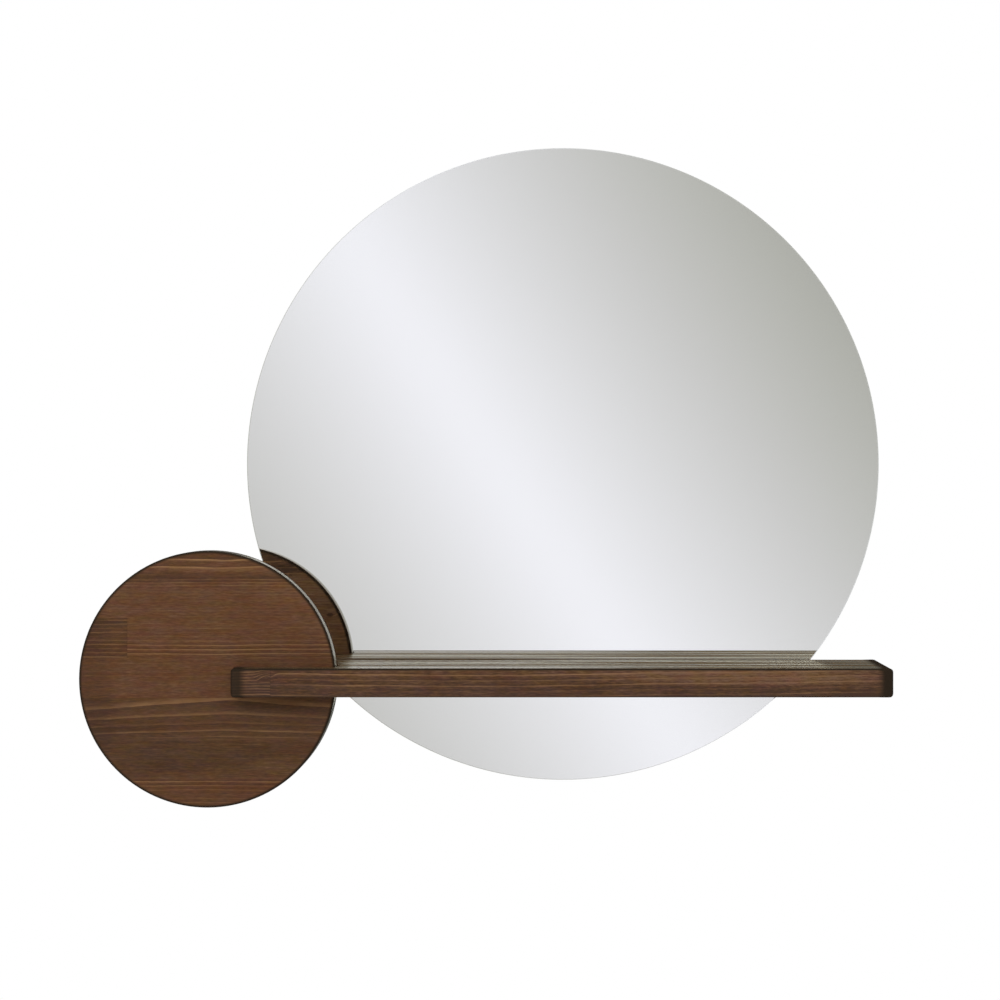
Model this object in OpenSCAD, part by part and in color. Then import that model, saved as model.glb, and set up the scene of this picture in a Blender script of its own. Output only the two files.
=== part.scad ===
// Frameless round wall mirror with a wooden shelf across its lower part and a
// wooden disc slotted onto the shelf's left end.
// Sizes are in millimetres. X runs to the right, Y towards the wall, Z up.
// The origin is on the wall, behind the centre of the mirror.

/* [Mirror glass] */
// Diameter of the glass
mirror_d = 600; // [570:5:700]
// Thickness of the glass
glass_t = 4; // [3:0.5:6]
// Width of the ground and polished bevel on both edges of the glass
glass_arris = 0.8; // [0.4:0.1:1.2]
// Diameter of the holes drilled through the glass for the shelf's screws
glass_hole_d = 10; // [9:0.5:12]
// Thickness of the silver and its paint on the back of the glass
silver_t = 0.2; // [0.1:0.1:0.4]

/* [Backing board] */
// Thickness of the backing board
board_t = 16; // [16:1:22]
// How far the board's edge lies inside the edge of the glass
board_inset = 20; // [10:1:25]
// Thickness of the foam tape between board and glass
tape_t = 0.8; // [0.6:0.1:1.5]
// Width of each strip of tape
tape_w = 20; // [12:1:30]

/* [Shelf] */
// Length of the shelf
shelf_len = 598; // [560:1:640]
// Depth of the shelf, from its back edge to its front edge
shelf_depth = 120; // [90:1:160]
// Thickness of the board that the shelf and the disc are cut from
wood_t = 26; // [22:1:30]
// How far the shelf's left end lies to the left of the mirror's centre
shelf_left = 300; // [280:1:320]
// How far the shelf's mid height lies below the mirror's centre
shelf_drop = 198.5; // [180:0.5:200]
// Rounding of the shelf's long edges
shelf_edge_r = 2; // [1:0.5:3]
// Rounding of the shelf's ends as seen from the front
shelf_end_r = 4; // [2:0.5:6]
// Rounding of the shelf's corners as seen from above
shelf_corner_r = 6; // [2:0.5:10]
// Distance between neighbouring shelf screws
shelf_screw_pitch = 100; // [60:5:100]

/* [Disc] */
// Diameter of the disc
disc_d = 234; // [200:1:260]
// How far the disc's centre lies to the left of the mirror's centre
disc_left = 323.8; // [315:0.1:335]
// How far the disc's centre lies below the mirror's centre
disc_drop = 197; // [190:0.5:205]
// How far the disc's front face lies behind the shelf's front edge
disc_setback = 24; // [10:1:40]
// Rounding of the disc's rim
disc_edge_r = 2.5; // [1:0.5:4]
// Gap left all round the shelf in the slot
slot_gap = 0.3; // [0.1:0.1:0.6]
// Depth of the housings across the shelf's top and underside that the disc sits in
housing_depth = 1; // [0.5:0.1:3]

/* [Hangers] */
// Distance between the two keyhole hangers
hanger_spacing = 300; // [200:10:300]
// How far the hangers lie above the mirror's centre
hanger_rise = 140; // [80:5:140]
// Diameter of the round entry of the keyhole
key_entry_d = 9.5; // [8:0.5:11]
// Width of the keyhole's slot
key_slot_w = 4.6; // [4.2:0.1:5.5]

/* [Hidden] */
$fn = 96;
eps = 0.01;

walnut_stain = [0.38, 0.26, 0.17];
walnut_stain_dark = [0.33, 0.22, 0.15];
board_brown = [0.62, 0.50, 0.36];
silver_grey = [0.83, 0.85, 0.87];
glass_tint = [0.80, 0.88, 0.86, 0.5];
tape_white = [0.92, 0.92, 0.90];
nylon_white = [0.90, 0.90, 0.87];
beech = [0.82, 0.67, 0.47];
zinc_grey = [0.70, 0.71, 0.73];
screw_yellow = [0.76, 0.66, 0.38];

// Depths from the wall, in the order of the layers
silver_at = board_t + tape_t;
glass_at = silver_at + silver_t;
glass_front = glass_at + glass_t;
mirror_r = mirror_d / 2;
board_r = mirror_r - board_inset;
board_edge_bevel = 1;

tape_pitch = 100;
tape_columns = [-2, -1, 0, 1, 2];
tape_end_margin = 15;

// Screws that come through board and glass into the shelf's back edge
shelf_screw_d = 5;
shelf_screw_len = 70;
shelf_head_d = 10;
shelf_head_sink = 1.5;
screw_play = 0.2;
shelf_screw_columns = [-1.5, -0.5, 0.5, 1.5];
pilot_spare = 2;

// Flanged bush between each screw and the glass
bush_play = 0.4;
bush_flange_d = 14;
bush_flange_t = 1;

shelf_back = glass_front + bush_flange_t;
shelf_front = shelf_back + shelf_depth;
shelf_mid_x = shelf_len / 2 - shelf_left;
shelf_mid_y = -(shelf_back + shelf_depth / 2);
cut_spare = 2;

disc_r = disc_d / 2;
disc_front = shelf_front - disc_setback;
disc_back = disc_front - wood_t;
slot_end_x = -shelf_left - slot_gap;
slot_h = wood_t - 2 * housing_depth + 2 * slot_gap;
slot_len = disc_d;

// The slot's inner corners follow what the housings leave of the shelf's rounded end
end_round_left = max(shelf_end_r - housing_depth, 0);
end_round_cut = shelf_end_r - sqrt(shelf_end_r * shelf_end_r - end_round_left * end_round_left);
slot_corner_r = end_round_cut + slot_gap;

// The housings run from the shelf's left end to just past the disc's rim
housing_play = 0.2;
housing_end_x = disc_r - disc_left + slot_gap;
housing_len = housing_end_x + shelf_left + cut_spare;
housing_w = wood_t + 2 * housing_play;

// Dowels across the joint between the shelf's end and the disc
dowel_d = 6;
dowel_len = 30;
dowel_pitch = 12;
dowel_bevel = 1;
dowel_hole_spare = 0.5;

// Keyhole plates let in flush with the back of the board
plate_w = 20;
plate_h = 50;
plate_t = 2;
plate_corner_r = 4;
plate_hole_rise = 19;
key_entry_drop = 5;
key_slot_rise = 8;
key_pocket_w = 12;
key_pocket_depth = 9;
key_pocket_margin = 1.5;
plate_screw_d = 3.5;
plate_screw_len = 13;
plate_head_d = 7;

// Head of every screw: a 90 degree cone under a thin rim, with a cross recess
head_rim_t = 0.4;
recess_arm = 0.5;
recess_slot = 0.13;
recess_deep = 0.28;

// Children drawn on the XY plane stand upright at this depth from the wall
module from_wall(depth) {
    translate([0, -depth, 0])
        rotate([90, 0, 0])
            children();
}

module rounded_rect(w, h, r) {
    square([w - 2 * r, h], center = true);
    square([w, h - 2 * r], center = true);
    for (x = [-1, 1], y = [-1, 1])
        translate([x * (w / 2 - r), y * (h / 2 - r)])
            circle(r = r);
}

// A disc with rounded rims, standing on the XY plane
module rounded_disc(r, t, edge) {
    rotate_extrude() {
        square([r - edge, t]);
        translate([0, edge])
            square([r, t - 2 * edge]);
        for (z = [edge, t - edge])
            translate([r - edge, z])
                circle(r = edge);
    }
}

// A disc with bevelled rims, standing on the XY plane
module bevelled_disc(r, t, bevel) {
    rotate_extrude()
        polygon([
            [0, 0], [r - bevel, 0], [r, bevel],
            [r, t - bevel], [r - bevel, t], [0, t]
        ]);
}

// A countersunk wood screw: its head's top is on the XY plane and it points up
module wood_screw(d, len, head_d) {
    cone_h = (head_d - d) / 2;
    tip_h = d;
    difference() {
        union() {
            cylinder(d = head_d, h = head_rim_t);
            translate([0, 0, head_rim_t])
                cylinder(d1 = head_d, d2 = d, h = cone_h);
            cylinder(d = d, h = len - tip_h);
            translate([0, 0, len - tip_h])
                cylinder(d1 = d, d2 = d / 8, h = tip_h);
        }
        for (turn = [0, 90])
            rotate(turn)
                translate([-head_d * recess_arm / 2, -head_d * recess_slot / 2, -eps])
                    cube([head_d * recess_arm, head_d * recess_slot, head_d * recess_deep]);
    }
}

// The hole for such a screw, with its countersink, cut down from the XY plane
module screw_hole(d, len, head_d, play) {
    cone_h = (head_d - d) / 2;
    translate([0, 0, -eps])
        cylinder(d = head_d + play, h = head_rim_t + eps);
    translate([0, 0, head_rim_t])
        cylinder(d1 = head_d + play, d2 = d + play, h = cone_h);
    translate([0, 0, -eps])
        cylinder(d = d + play, h = len + 2 * eps);
}

module at_shelf_screws() {
    for (i = shelf_screw_columns)
        translate([i * shelf_screw_pitch, -shelf_drop, 0])
            children();
}

module at_hanger(side) {
    translate([side * hanger_spacing / 2, hanger_rise, 0])
        children();
}

module at_plate_screws() {
    for (side = [-1, 1])
        translate([0, side * plate_hole_rise, 0])
            children();
}

module tape_strip(x) {
    reach = abs(x) + tape_w / 2;
    half = sqrt(board_r * board_r - reach * reach) - tape_end_margin;
    translate([x - tape_w / 2, -half, 0])
        cube([tape_w, 2 * half, tape_t]);
}

// The keyhole's outline: a round entry with a round-ended slot above it
module keyhole(entry_d, slot_w) {
    translate([0, -key_entry_drop])
        circle(d = entry_d);
    translate([-slot_w / 2, -key_entry_drop])
        square([slot_w, key_entry_drop + key_slot_rise]);
    translate([0, key_slot_rise])
        circle(d = slot_w);
}

// Room in the board behind the keyhole, for the head of the wall screw
module key_pocket() {
    low = key_entry_drop + key_pocket_margin;
    high = key_slot_rise + key_pocket_margin;
    translate([0, (high - low) / 2, 0])
        linear_extrude(key_pocket_depth)
            rounded_rect(key_pocket_w, high + low + key_pocket_w / 2, key_pocket_w / 3);
}

module hanger_recess() {
    translate([0, 0, -eps])
        linear_extrude(plate_t + eps)
            rounded_rect(plate_w, plate_h, plate_corner_r);
    translate([0, 0, plate_t - eps])
        key_pocket();
    at_plate_screws()
        cylinder(d = plate_screw_d, h = plate_screw_len + eps);
}

module hanger_plate(side) {
    color(zinc_grey)
        from_wall(0)
            at_hanger(side)
                difference() {
                    linear_extrude(plate_t)
                        rounded_rect(plate_w, plate_h, plate_corner_r);
                    translate([0, 0, -1])
                        linear_extrude(plate_t + 2)
                            keyhole(key_entry_d, key_slot_w);
                    at_plate_screws()
                        screw_hole(plate_screw_d, plate_t, plate_head_d, screw_play);
                }
}

module backing_board() {
    color(board_brown)
        from_wall(0)
            difference() {
                bevelled_disc(board_r, board_t, board_edge_bevel);
                at_shelf_screws() {
                    translate([0, 0, -eps])
                        cylinder(d = shelf_head_d + screw_play, h = shelf_head_sink + 2 * eps);
                    translate([0, 0, shelf_head_sink])
                        screw_hole(shelf_screw_d, board_t, shelf_head_d, screw_play);
                }
                for (side = [-1, 1])
                    at_hanger(side)
                        hanger_recess();
            }
}

module mounting_tape() {
    color(tape_white)
        from_wall(board_t)
            for (i = tape_columns)
                tape_strip(i * tape_pitch);
}

module silver_coating() {
    color(silver_grey)
        from_wall(silver_at)
            difference() {
                cylinder(r = mirror_r - glass_arris, h = silver_t);
                at_shelf_screws()
                    translate([0, 0, -1])
                        cylinder(d = glass_hole_d, h = silver_t + 2);
            }
}

module glass_pane() {
    color(glass_tint)
        from_wall(glass_at)
            difference() {
                bevelled_disc(mirror_r, glass_t, glass_arris);
                at_shelf_screws()
                    translate([0, 0, -1])
                        cylinder(d = glass_hole_d, h = glass_t + 2);
            }
}

// Each bush lines its hole in the glass and keeps the shelf off the glass
module glass_bushes() {
    sleeve_len = glass_front - board_t;
    color(nylon_white)
        from_wall(board_t)
            at_shelf_screws()
                difference() {
                    union() {
                        cylinder(d = glass_hole_d - bush_play, h = sleeve_len);
                        translate([0, 0, sleeve_len])
                            cylinder(d = bush_flange_d, h = bush_flange_t);
                    }
                    translate([0, 0, -1])
                        cylinder(d = shelf_screw_d + screw_play, h = sleeve_len + 3);
                }
}

// The board with its long edges, end edges and corners rounded
module shelf_blank() {
    translate([shelf_mid_x, shelf_mid_y, -shelf_drop])
        intersection() {
            rotate([90, 0, 90])
                linear_extrude(shelf_len + cut_spare, center = true)
                    rounded_rect(shelf_depth, wood_t, shelf_edge_r);
            rotate([90, 0, 0])
                linear_extrude(shelf_depth + cut_spare, center = true)
                    rounded_rect(shelf_len, wood_t, shelf_end_r);
            linear_extrude(wood_t + cut_spare, center = true)
                rounded_rect(shelf_len, shelf_depth, shelf_corner_r);
        }
}

// Two round holes or pegs along X, in the middle of the disc's thickness
module dowel_row(len, d) {
    for (side = [-1, 1])
        translate([
            -shelf_left - len / 2,
            -(disc_front + disc_back) / 2 + side * dowel_pitch / 2,
            -shelf_drop
        ])
            rotate([0, 90, 0])
                cylinder(d = d, h = len);
}

// Room for the lips of the disc's slot, above and below the shelf's mid height
module disc_housings() {
    for (side = [-1, 1])
        translate([
            housing_end_x - housing_len / 2,
            -(disc_front + disc_back) / 2,
            -shelf_drop + side * (wood_t + cut_spare) / 2
        ])
            cube([housing_len, housing_w, 2 * housing_depth + cut_spare], center = true);
}

module shelf_board() {
    pilot_len = shelf_head_sink + shelf_screw_len + pilot_spare - shelf_back;
    color(walnut_stain)
        difference() {
            shelf_blank();
            from_wall(shelf_back)
                at_shelf_screws()
                    translate([0, 0, -1])
                        cylinder(d = shelf_screw_d, h = pilot_len + 1);
            dowel_row(dowel_len + 2 * dowel_hole_spare, dowel_d);
            disc_housings();
        }
}

module shelf_screws() {
    color(screw_yellow)
        from_wall(shelf_head_sink)
            at_shelf_screws()
                wood_screw(shelf_screw_d, shelf_screw_len, shelf_head_d);
}

module side_disc() {
    color(walnut_stain_dark)
        difference() {
            from_wall(disc_back)
                translate([-disc_left, -disc_drop, 0])
                    rounded_disc(disc_r, wood_t, disc_edge_r);
            from_wall(disc_back - 1)
                linear_extrude(wood_t + 2)
                    translate([slot_end_x + slot_len / 2, -shelf_drop])
                        rounded_rect(slot_len, slot_h, slot_corner_r);
            dowel_row(dowel_len + 2 * dowel_hole_spare, dowel_d);
        }
}

module disc_dowels() {
    color(beech)
        for (side = [-1, 1])
            translate([
                -shelf_left - dowel_len / 2,
                -(disc_front + disc_back) / 2 + side * dowel_pitch / 2,
                -shelf_drop
            ])
                rotate([0, 90, 0])
                    bevelled_disc(dowel_d / 2, dowel_len, dowel_bevel);
}

module hanger_plate_left() {
    hanger_plate(-1);
}

module hanger_plate_right() {
    hanger_plate(1);
}

module hanger_screws() {
    color(zinc_grey)
        from_wall(0)
            for (side = [-1, 1])
                at_hanger(side)
                    at_plate_screws()
                        wood_screw(plate_screw_d, plate_screw_len, plate_head_d);
}

backing_board();
mounting_tape();
silver_coating();
glass_pane();
glass_bushes();
shelf_board();
shelf_screws();
side_disc();
disc_dowels();
hanger_plate_left();
hanger_plate_right();
hanger_screws();
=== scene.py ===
"""Round wall mirror with a stained pine shelf and a slotted disc, dressed round its CAD frame.

X runs to the right, Y towards the wall, Z up. Settings, lamps and camera are in metres. The
grain, the materials and the meshes are worked out in millimetres.
"""

import math
from collections import namedtuple
from types import SimpleNamespace

import bpy
import numpy as np
from bpy.props import FloatProperty, FloatVectorProperty, PointerProperty
from mathutils.geometry import delaunay_2d_cdt
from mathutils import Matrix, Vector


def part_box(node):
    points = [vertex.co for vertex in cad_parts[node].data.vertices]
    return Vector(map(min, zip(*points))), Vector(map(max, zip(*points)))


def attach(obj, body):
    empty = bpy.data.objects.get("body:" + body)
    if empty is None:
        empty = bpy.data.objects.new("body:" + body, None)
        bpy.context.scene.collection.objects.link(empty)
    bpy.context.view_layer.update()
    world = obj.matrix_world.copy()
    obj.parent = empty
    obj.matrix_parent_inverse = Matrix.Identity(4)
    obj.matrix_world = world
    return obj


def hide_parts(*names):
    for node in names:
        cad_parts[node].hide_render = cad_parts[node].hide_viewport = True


bl_info = {
    "name": "Mirror With Shelf",
    "version": (1, 0, 0),
    "blender": (4, 5, 0),
    "location": "3D View > Sidebar > Mirror",
    "description": "Builds the visible pieces of a round mirror with a wooden shelf and disc",
    "category": "Object",
}

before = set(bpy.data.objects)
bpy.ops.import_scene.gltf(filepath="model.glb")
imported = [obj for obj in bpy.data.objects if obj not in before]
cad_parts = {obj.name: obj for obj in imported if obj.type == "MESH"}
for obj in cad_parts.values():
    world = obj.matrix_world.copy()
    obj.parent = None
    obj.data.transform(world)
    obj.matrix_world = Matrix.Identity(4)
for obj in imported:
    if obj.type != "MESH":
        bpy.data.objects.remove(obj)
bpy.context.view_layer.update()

MM = 0.001
MM_PER_M = 1000
BODY = "root"


def node_box(name):
    """Lowest and highest corner of a CAD node, in millimetres."""
    return np.array([list(corner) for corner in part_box(name)]) * MM_PER_M


def srgb(red, green, blue):
    """A colour given in 0 to 255 as a screen shows it, in the linear values that shaders use."""
    shown = (red / 255, green / 255, blue / 255)
    return tuple(c / 12.92 if c <= 0.04045 else ((c + 0.055) / 1.055) ** 2.4 for c in shown)


# ---- Settings that a user would change ----


def a_number(name, description, default, **more):
    more = {"min": 0, **more}
    return FloatProperty(name=name, description=description, default=default, **more)


def a_length(name, description, default):
    return a_number(name, description, default, precision=5, unit="LENGTH", subtype="DISTANCE")


def a_colour(name, description, default):
    return FloatVectorProperty(
        name=name, description=description, default=default, min=0, max=1, subtype="COLOR"
    )


class GlassSettings(bpy.types.PropertyGroup):
    """Sizes and colours of the mirror glass and its silver"""

    diameter: a_length("Diameter", "Diameter of the glass", 0.6)
    arris: a_length("Arris", "Width of the eased arris on the glass's edges", 0.00003)
    hole_diameter: a_length("Hole Diameter", "Diameter of the four drilled holes", 0.01)
    silver_inlay: a_length(
        "Silver Inlay", "How far the silver's face lies inside the back of the glass", 0.00005
    )
    silver_margin: a_length(
        "Silver Margin", "Bare width between the silver and the edge of the glass", 0.00001
    )
    tint: a_colour("Glass Tint", "Colour of light that crosses the glass", (0.982, 0.985, 0.979))
    silver: a_colour("Silver", "Colour of the reflecting layer", (0.955, 0.96, 0.96))
    paint: a_colour("Back Paint", "Colour of the paint behind the silver", srgb(118, 124, 122))


class WoodSettings(bpy.types.PropertyGroup):
    """Sizes and colours of the stained and brushed pine"""

    shelf_edge: a_length("Shelf Edge", "Rounding of the shelf's long edges", 0.002)
    shelf_end: a_length("Shelf End", "Rounding of the shelf's ends, from the front", 0.004)
    shelf_corner: a_length("Shelf Corner", "Rounding of its corners, from above", 0.006)
    housing_depth: a_length("Housing Depth", "Depth of the disc's housings in the shelf", 0.001)
    rim_rounding: a_length("Rim Rounding", "Rounding of the disc's rim", 0.0025)
    slot_easing: a_length("Slot Easing", "Rounding of the edges of the disc's slot", 0.0005)
    slot_height: a_length("Slot Height", "Height of the disc's slot", 0.0246)
    slot_corner: a_length("Slot Corner", "Rounding of the slot's inner corners", 0.00165)
    relief: a_length("Brushed Relief", "Depth that brushing takes out of soft wood", 0.0002)
    dark: a_colour("Dark Stain", "Stain where the wood soaks up most", srgb(67, 47, 35))
    middle: a_colour("Stain", "Usual tone of the stained wood", srgb(89, 61, 42))
    light: a_colour("Light Stain", "Stain where the wood soaks up least", srgb(111, 81, 57))
    line: a_colour("Grain Lines", "Hard summer growth that takes little stain", srgb(138, 103, 70))
    edge: a_colour("Edge Stain", "Stain that gathers on rounded edges and ends", srgb(41, 33, 25))
    gloss: a_number("Roughness", "Roughness of the satin coat", 0.3, max=1, subtype="FACTOR")


class FittingSettings(bpy.types.PropertyGroup):
    """Colours of the hidden pieces and fittings"""

    board: a_colour("Board", "Raw fibreboard", srgb(176, 143, 104))
    tape: a_colour("Tape", "Foam tape", srgb(238, 238, 233))
    nylon: a_colour("Nylon", "Natural nylon", srgb(228, 226, 214))
    beech: a_colour("Beech", "Plain beech", srgb(205, 164, 118))
    zinc: a_colour("Zinc", "Bright zinc plate", srgb(196, 199, 203))
    yellow_zinc: a_colour("Yellow Zinc", "Yellow passivated zinc", srgb(206, 182, 112))


class StageSettings(bpy.types.PropertyGroup):
    """Light, floor and camera"""

    ambient: a_number("Ambient Light", "Strength of the even light", 0.65)
    key_power: a_number("Key Light", "Power of the large front light", 102, unit="POWER")
    top_power: a_number("Top Light", "Power of the light from above", 30, unit="POWER")
    side_power: a_number(
        "Side Light", "Power of the light from the left and behind", 30, unit="POWER"
    )
    floor_drop: a_length("Floor", "How far the floor lies below the mirror's centre", 2.4)
    floor_radius: a_length("Floor Radius", "Radius of the round floor", 5)
    lens_mm: a_number("Lens", "Focal length on a 36 mm sensor", 87.48, min=1, unit="CAMERA")


SETTINGS = (
    ("mirror_glass", GlassSettings),
    ("mirror_wood", WoodSettings),
    ("mirror_fittings", FittingSettings),
    ("mirror_stage", StageSettings),
)


# ---- Node trees, written as arithmetic ----


def both_ways(operation):
    """An operator of Val and its reflected form, each of which adds a Math node."""

    def forward(self, other):
        return self.math(operation, other)

    def reflected(self, other):
        return self.nodes.add("ShaderNodeMath", [other, self], operation=operation)

    return forward, reflected


class Val:
    """A socket that gives a number, a colour or a vector. Arithmetic on numbers adds Math nodes."""

    def __init__(self, nodes, socket):
        self.nodes = nodes
        self.socket = socket

    def math(self, operation, *others):
        return self.nodes.add("ShaderNodeMath", [self, *others], operation=operation)

    __add__, __radd__ = both_ways("ADD")
    __sub__, __rsub__ = both_ways("SUBTRACT")
    __mul__, __rmul__ = both_ways("MULTIPLY")
    __truediv__, __rtruediv__ = both_ways("DIVIDE")
    __pow__, __rpow__ = both_ways("POWER")

    def __neg__(self):
        return self.math("MULTIPLY", -1)

    def __abs__(self):
        return self.math("ABSOLUTE")


class Nodes:
    """The node tree of a material or of the world, emptied and ready to be filled."""

    def __init__(self, owner):
        owner.use_nodes = True
        self.owner = owner
        self.tree = owner.node_tree
        self.tree.nodes.clear()

    def add(self, kind, inputs=(), outputs=None, **settings):
        """Adds a node: its settings first, then the values or links of its sockets.

        inputs is a list in the order of the sockets, or a dict by their names. outputs names the
        sockets that are given back. Without it the first one is.
        """
        node = self.tree.nodes.new(kind)
        for key, value in settings.items():
            setattr(node, key, value)
        live = [s for s in node.inputs if s.enabled]
        if isinstance(inputs, dict):
            pairs = [(next(s for s in live if s.name == key), v) for key, v in inputs.items()]
        else:
            pairs = zip(live, inputs)
        for socket, value in pairs:
            if isinstance(value, Val):
                self.tree.links.new(value.socket, socket)
            elif socket.type == "RGBA" and len(value) == 3:
                socket.default_value = (*value, 1)
            else:
                socket.default_value = value
        if outputs:
            found = [Val(self, node.outputs[name]) for name in outputs]
            return found if len(found) > 1 else found[0]
        given = [s for s in node.outputs if s.enabled]
        return Val(self, given[0]) if given else None

    def split(self, vector):
        return self.add("ShaderNodeSeparateXYZ", [vector], ("X", "Y", "Z"))

    def position_mm(self):
        """The place on the object in millimetres, as three numbers."""
        place = self.add("ShaderNodeTexCoord", (), ("Object",))
        return [part * MM_PER_M for part in self.split(place)]

    def ray_kinds(self):
        """1 for a camera, a glossy and a transmission ray, in this order, and otherwise 0."""
        kinds = ("Is Camera Ray", "Is Glossy Ray", "Is Transmission Ray")
        return self.add("ShaderNodeLightPath", (), kinds)

    def mix(self, share, first, second, blend="MIX"):
        """Mixes two colours."""
        inputs = {"Factor": share, "A": first, "B": second}
        settings = {"data_type": "RGBA", "blend_type": blend, "clamp_factor": True}
        return self.add("ShaderNodeMix", inputs, **settings)

    def ramp(self, place, stops, interpolation="LINEAR"):
        """A colour ramp. Each stop is a position and a colour."""
        colour = self.add("ShaderNodeValToRGB", [place])
        ramp = colour.socket.node.color_ramp
        ramp.interpolation = interpolation
        while len(ramp.elements) < len(stops):
            ramp.elements.new(1)
        for element, (position, shade) in zip(ramp.elements, stops):
            element.position = position
            element.color = (*shade, 1)
        return colour

    def texture(self, kind, place, sizes, outputs=None, **inputs):
        """A texture whose features have the given size, or sizes, in millimetres."""
        sizes = np.broadcast_to(sizes, 3).tolist()
        vector = self.add("ShaderNodeCombineXYZ", [part / size for part, size in zip(place, sizes)])
        return self.add(kind, {"Vector": vector, "Scale": 1, **inputs}, outputs)

    def noise(self, place, sizes, detail=2, roughness=0.5, distortion=0):
        """Soft noise from 0 to 1."""
        inputs = {"Detail": detail, "Roughness": roughness, "Distortion": distortion}
        return self.texture("ShaderNodeTexNoise", place, sizes, **inputs)

    def bump(self, height, distance_mm, strength):
        inputs = {"Strength": strength, "Distance": distance_mm * MM, "Height": height}
        return self.add("ShaderNodeBump", inputs)

    def surface(self, shader, kind="ShaderNodeOutputMaterial"):
        self.add(kind, {"Surface": shader})

    def principled(self, **inputs):
        """Ends in a Principled shader, whose Base Color is given as base_color=..., and so on."""
        named = {"ior": "IOR", "coat_ior": "Coat IOR", "specular": "Specular IOR Level"}
        sockets = {named.get(k, k.replace("_", " ").title()): v for k, v in inputs.items()}
        self.surface(self.add("ShaderNodeBsdfPrincipled", sockets))
        return self.owner


def start_material(name):
    """The nodes of a new material, and the place on the object in millimetres."""
    nodes = Nodes(bpy.data.materials.new(name))
    return nodes, nodes.position_mm()


def is_val(value):
    return isinstance(value, Val)


def for_both(operation, plain):
    """A function that adds a Math node for a socket and does the plain sum for an array."""

    def apply(value, *limit):
        return value.math(operation, *limit) if is_val(value) else plain(value, *limit)

    return apply


sin = for_both("SINE", np.sin)
floor = for_both("FLOOR", np.floor)
lowest = for_both("MINIMUM", np.minimum)
highest = for_both("MAXIMUM", np.maximum)
# 1 where the value is below the limit, otherwise 0
below = for_both("LESS_THAN", lambda value, limit: (value < limit) * 1.0)


def smooth(low, high, value):
    """Rises smoothly from 0 at low to 1 at high."""
    if is_val(value):
        inputs = {"Value": value, "From Min": low, "From Max": high}
        return value.nodes.add("ShaderNodeMapRange", inputs, interpolation_type="SMOOTHSTEP")
    t = np.clip((value - low) / (high - low), 0, 1)
    return t * t * (3 - 2 * t)


# ---- The grain of the glued pine boards, for meshes (arrays) and materials (sockets) alike ----

STAVE_WIDTH = 36.4
GOLDEN = 0.618034
LINE_START = 0.68  # where in a ring its light line begins
CREST = 0.94  # and where it is strongest
DEEP = 400  # deeper than any board, and higher than the mirror reaches

# Lowest, highest and usual value of each property of a stave
STAVE_PROPERTIES = {
    "step": (1, 9, 3.2),
    "pith_across": (-120, 120, 75),
    "pith_deep": (-120, 120, 30),
    "phase": (0, 1, 0),
    "bow": (-4, 4, 0),
    "waves": (0, 2, 0.3),
    "lines": (0, 1, 0.35),
    "accent": (0, 1, 0),
    "accent_at": (-20, 30, 0),
    "tone": (0, 1, 0.5),
    "hue": (0, 1, 0.5),
    "seed": (0, 1, 0),
}

# A patch that is darker, or lighter where the amount is negative
Cloud = namedtuple("Cloud", "centre half amount")
Knot = namedtuple("Knot", "centre radius dark")


def stave(line_at=(0, 0), **properties):
    """One stave of a board, with lengths in millimetres.

    line_at: a place across and into the stave that one light line runs through at the peak.
    step: distance between growth rings. pith_across, pith_deep: where the tree's core lay.
    bow: how much the rings widen 100 mm from their peak. waves: their waviness. lines: how
    strongly they show. accent, accent_at: extra strength at one height. tone: 0 dark to 1
    light. hue: 0 red to 1 olive. seed: picks which lines are strong.
    """
    one = {name: usual for name, (_, _, usual) in STAVE_PROPERTIES.items()}
    one.update(properties)
    radius = math.hypot(line_at[0] - one["pith_across"], line_at[1] - one["pith_deep"])
    one["phase"] = (CREST - radius / one["step"]) % 1
    return one


def stave_properties(staves, index):
    """The properties of the stave with this index, as arrays or as sockets."""
    names = list(STAVE_PROPERTIES)
    if not is_val(index):
        whole = index.astype(int)
        return SimpleNamespace(**{n: np.array([s[n] for s in staves])[whole] for n in names})
    found = {}
    place = (index + 0.5) / len(staves)
    # Each colour ramp has a step for every stave and carries three properties
    for first in range(0, len(names), 3):
        trio = names[first : first + 3]
        spans = [STAVE_PROPERTIES[name][:2] for name in trio]
        stops = []
        for i, one in enumerate(staves):
            shares = [(one[n] - low) / (high - low) for n, (low, high) in zip(trio, spans)]
            stops.append((i / len(staves), shares))
        colour = index.nodes.ramp(place, stops, "CONSTANT")
        parts = index.nodes.add("ShaderNodeSeparateColor", [colour], ("Red", "Green", "Blue"))
        for name, part, (low, high) in zip(trio, parts, spans):
            found[name] = part * (high - low) + low
    return SimpleNamespace(**found)


def read_board(wood, along, across):
    """The properties of the stave at a place, the height in that stave, and its joints."""
    rows = len(wood.staves) - len(wood.joints)
    row = floor((across - wood.top) / STAVE_WIDTH)
    row = highest(lowest(row, rows - 1), 0)
    u = across - wood.top - (row + 0.5) * STAVE_WIDTH
    index = row
    seam = 0
    for joint_row, place, other in wood.joints:
        here = below(abs(row - joint_row), 0.5)
        index = index + here * below(along, place) * (other - joint_row)
        seam = seam + here * (1 - smooth(0.05, 0.5, abs(along - place)))
    return stave_properties(wood.staves, index), u, seam


def gap_squared(place, centre, half):
    """Squared distance from a centre, in which each half width counts as 1."""
    parts = [((here - middle) / reach) ** 2 for here, middle, reach in zip(place, centre, half)]
    return parts[0] + parts[1] + parts[2]


def knot_gap(knot, place):
    """Distance from the middle of a knot, which is stretched along the board."""
    return gap_squared(place, knot.centre, (1.7, 1, 1)) ** 0.5


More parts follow.
